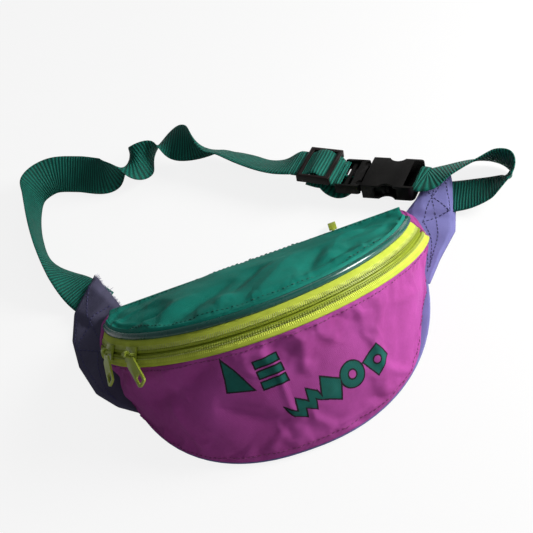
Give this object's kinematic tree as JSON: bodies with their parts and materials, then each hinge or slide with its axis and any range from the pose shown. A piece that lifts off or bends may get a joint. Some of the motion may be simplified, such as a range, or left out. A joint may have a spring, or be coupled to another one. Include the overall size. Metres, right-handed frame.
{
  "type": "waist pack",
  "caption": "Small half-moon waist pack with a curved two-slider zip, a rear pocket zip, side wings and a webbing belt with an adjuster and side-release buckle",
  "frame": {"origin": "centre of the flat patch where the back panel rests on the table", "axes": "+X along the zip to the right as seen from the front, +Z out of the front of the pouch, away from the wearer, -Y toward the bottom of the pouch"},
  "size_m": [0.3117, 0.2862, 0.0701],
  "materials": {
    "magenta_twill": "coated twill, magenta",
    "green_twill": "coated twill, teal green",
    "lime_tape": "woven zip tape, lime",
    "lime_coil": "moulded teeth, lime",
    "lime_paint": "painted zip sliders and pulls, lime",
    "piping": "glossy vinyl piping, dark green",
    "wing_cloth": "coated twill, periwinkle",
    "webbing": "ribbed webbing, teal green",
    "black_plastic": "moulded, near black",
    "lining": "dark lining and back cloth",
    "tab_cloth": "gathered twill, magenta"
  },
  "bodies": {
    "pouch": {"back_panel": "wing_cloth", "rear_pocket_lining": "lining", "front_panel": "magenta_twill", "top_corner_left": "green_twill", "top_corner_right": "green_twill", "rear_wall": "green_twill", "lower_tape": "lime_tape", "lower_teeth": "lime_coil", "upper_tape_left": "lime_tape", "upper_tape_right": "lime_tape", "upper_teeth_left": "lime_coil", "upper_teeth_right": "lime_coil", "piping_left": "piping", "piping_right": "piping", "end_tab_left": "tab_cloth", "end_tab_right": "tab_cloth", "rear_zip": "lime_tape", "wing_left": "wing_cloth", "wing_right": "wing_cloth", "belt_long": "webbing", "belt_flex": "webbing", "belt_short": "webbing", "buckle_socket": "black_plastic"},
    "lid": {"top_panel": "green_twill", "upper_tape": "lime_tape", "upper_teeth": "lime_coil", "piping": "piping"},
    "slider_left": {"slider_left": "lime_paint"},
    "slider_right": {"slider_right": "lime_paint"},
    "pull_left": {"pull_left": "lime_paint"},
    "pull_right": {"pull_right": "lime_paint"},
    "slider_rear": {"slider_rear": "lime_paint"},
    "pull_rear": {"pull_rear": "lime_paint"},
    "plug": {"buckle_plug": "black_plastic", "belt_tail": "webbing"},
    "prong_left": {"prong_left": "black_plastic"},
    "prong_right": {"prong_right": "black_plastic"},
    "adjuster": {"tri_glide": "black_plastic"}
  },
  "joints": [
    {"name": "lid_lift", "type": "hinge", "parent": "pouch", "child": "lid", "pos_m": [0, 0.064, 0.0124], "axis": [-1, 0, 0], "range_deg": [0, 35]},
    {"name": "slider_left_run", "type": "hinge", "parent": "pouch", "child": "slider_left", "pos_m": [0, 0.0535, 0.004], "axis": [0, 0.5736, 0.8192], "range_deg": [-9, 5]},
    {"name": "slider_right_run", "type": "hinge", "parent": "pouch", "child": "slider_right", "pos_m": [0, 0.0535, 0.004], "axis": [0, 0.5736, 0.8192], "range_deg": [0, 118]},
    {"name": "pull_left_swing", "type": "hinge", "parent": "slider_left", "child": "pull_left", "pos_m": [-0.09691, 0.01463, 0.03457], "axis": [-0.454, 0.7299, -0.5111], "range_deg": [0, 120]},
    {"name": "pull_right_swing", "type": "hinge", "parent": "slider_right", "child": "pull_right", "pos_m": [-0.08083, -0.00454, 0.048], "axis": [-0.6691, 0.6087, -0.4262], "range_deg": [0, 120]},
    {"name": "rear_slider_run", "type": "slide", "parent": "pouch", "child": "slider_rear", "axis": [-1, 0, 0], "range_m": [0, 0.105]},
    {"name": "rear_pull_swing", "type": "hinge", "parent": "slider_rear", "child": "pull_rear", "pos_m": [0.053, 0.0684, 0.0061], "axis": [1, 0, 0], "range_deg": [0, 100]},
    {"name": "buckle_release", "type": "slide", "parent": "pouch", "child": "plug", "axis": [-0.8572, 0.515, 0], "range_m": [0, 0.022], "deforming": ["belt_flex"]},
    {"name": "prong_left_press", "type": "hinge", "parent": "plug", "child": "prong_left", "pos_m": [0.0876, 0.10932, 0.00781], "axis": [-0.1071, -0.1782, -0.9781], "range_deg": [0, 6], "stiffness_Nm_per_rad": 0.05},
    {"name": "prong_right_press", "type": "hinge", "parent": "plug", "child": "prong_right", "pos_m": [0.07753, 0.09255, 0.01197], "axis": [0.1071, 0.1782, 0.9781], "range_deg": [0, 6], "stiffness_Nm_per_rad": 0.05},
    {"name": "adjuster_slide", "type": "slide", "parent": "plug", "child": "adjuster", "axis": [0.8476, -0.5262, -0.0682], "range_m": [-0.004, 0.001]}
  ]
}
